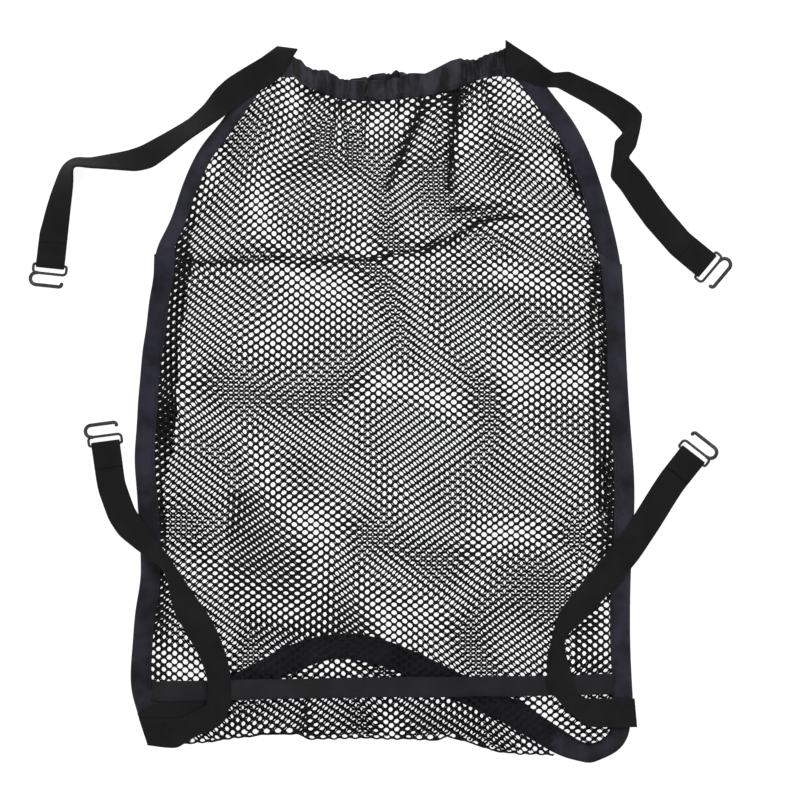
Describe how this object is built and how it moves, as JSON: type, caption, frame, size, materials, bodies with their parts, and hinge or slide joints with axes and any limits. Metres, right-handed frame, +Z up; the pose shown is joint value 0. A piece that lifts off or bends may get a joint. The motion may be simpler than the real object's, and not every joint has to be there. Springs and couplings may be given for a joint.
{
  "type": "mesh ball bag",
  "caption": "Flat mesh ball bag of knitted net with bound edges, a gathered elastic mouth, a cross tape and webbing straps that end in open metal hooks.",
  "frame": {"origin": "middle of the whole flat outline, straps included, on the surface that the bag lies on", "axes": "+X across the bag to the right as seen from its front, +Y along the bag from its bottom to its mouth, +Z up out of the front net"},
  "size_m": [0.4931, 0.5066, 0.0219],
  "materials": {
    "net": "black knitted polyester net with round holes",
    "binding": "dark navy satin-woven binding tape",
    "casing": "dark navy woven casing, gathered on its elastic",
    "webbing": "black flat-woven webbing, matte",
    "cross_tape": "charcoal plain-woven tape",
    "elastic": "braided flat elastic, hidden in the casing",
    "thread": "black polyester sewing thread",
    "hook_metal": "gunmetal-grey coated wire, satin"
  },
  "bodies": {
    "root": {"back_net_panel": "net", "bottom_net_return": "net", "front_net_left": "net", "front_net_right": "net", "left_net_fold": "net", "right_net_fold": "net", "left_binding_upper": "binding", "left_binding_lower": "binding", "right_binding_upper": "binding", "right_binding_lower": "binding", "bottom_binding": "binding", "mouth_casing_back": "casing", "mouth_elastic_back": "elastic", "casing_seam_back": "thread", "cross_tape_left": "cross_tape", "cross_tape_right": "cross_tape", "left_binding_seam": "thread", "right_binding_seam": "thread", "top_left_strap_end": "webbing", "top_left_box_stitch": "thread", "top_right_strap_end": "webbing", "top_right_box_stitch": "thread", "bottom_left_strap_end": "webbing", "bottom_left_box_stitch": "thread", "bottom_right_strap_end": "webbing", "bottom_right_box_stitch": "thread"},
    "front": {"front_net_panel": "net", "mouth_casing_front": "casing", "mouth_elastic_front": "elastic", "casing_seam_front": "thread", "cross_tape_middle": "cross_tape", "tape_seams": "thread"},
    "top_left_strap": {"top_left_strap": "webbing", "top_left_strap_loop": "webbing", "top_left_loop_stitches": "thread"},
    "top_left_hook": {"top_left_hook": "hook_metal"},
    "top_right_strap": {"top_right_strap": "webbing", "top_right_strap_loop": "webbing", "top_right_loop_stitches": "thread"},
    "top_right_hook": {"top_right_hook": "hook_metal"},
    "bottom_left_strap": {"bottom_left_strap": "webbing", "bottom_left_strap_loop": "webbing", "bottom_left_loop_stitches": "thread"},
    "bottom_left_hook": {"bottom_left_hook": "hook_metal"},
    "bottom_right_strap": {"bottom_right_strap": "webbing", "bottom_right_strap_loop": "webbing", "bottom_right_loop_stitches": "thread"},
    "bottom_right_hook": {"bottom_right_hook": "hook_metal"}
  },
  "joints": [
    {"name": "mouth_open", "type": "hinge", "parent": "root", "child": "front", "pos_m": [0, -0.237, 0.0066], "axis": [1, 0, 0], "range_deg": [0, 10]},
    {"name": "top_left_strap_swing", "type": "hinge", "parent": "root", "child": "top_left_strap", "pos_m": [-0.0852, 0.227, 0.0056], "axis": [-0.6402, 0.7682, 0], "range_deg": [0, 90]},
    {"name": "top_left_hook_swivel", "type": "hinge", "parent": "top_left_strap", "child": "top_left_hook", "pos_m": [-0.231, 0.0952, 0.0027], "axis": [-0.9945, 0.1045, 0], "range_deg": [0, 150]},
    {"name": "top_right_strap_swing", "type": "hinge", "parent": "root", "child": "top_right_strap", "pos_m": [0.1033, 0.2304, 0.0056], "axis": [-0.5935, -0.8048, 0], "range_deg": [0, 90]},
    {"name": "top_right_hook_swivel", "type": "hinge", "parent": "top_right_strap", "child": "top_right_hook", "pos_m": [0.2278, 0.0956, 0.0027], "axis": [-0.6428, -0.766, 0], "range_deg": [0, 150]},
    {"name": "bottom_left_strap_swing", "type": "hinge", "parent": "root", "child": "bottom_left_strap", "pos_m": [-0.1135, -0.2134, 0.01], "axis": [0.9998, -0.0214, 0], "range_deg": [0, 120]},
    {"name": "bottom_left_hook_swivel", "type": "hinge", "parent": "bottom_left_strap", "child": "bottom_left_hook", "pos_m": [-0.1922, -0.0304, 0.0027], "axis": [0.9914, 0.1305, 0], "range_deg": [0, 150]},
    {"name": "bottom_right_strap_swing", "type": "hinge", "parent": "root", "child": "bottom_right_strap", "pos_m": [0.1272, -0.2004, 0.01], "axis": [0.9803, 0.1975, 0], "range_deg": [0, 120]},
    {"name": "bottom_right_hook_swivel", "type": "hinge", "parent": "bottom_right_strap", "child": "bottom_right_hook", "pos_m": [0.2184, -0.0388, 0.0027], "axis": [0.788, -0.6157, 0], "range_deg": [0, 150]}
  ]
}
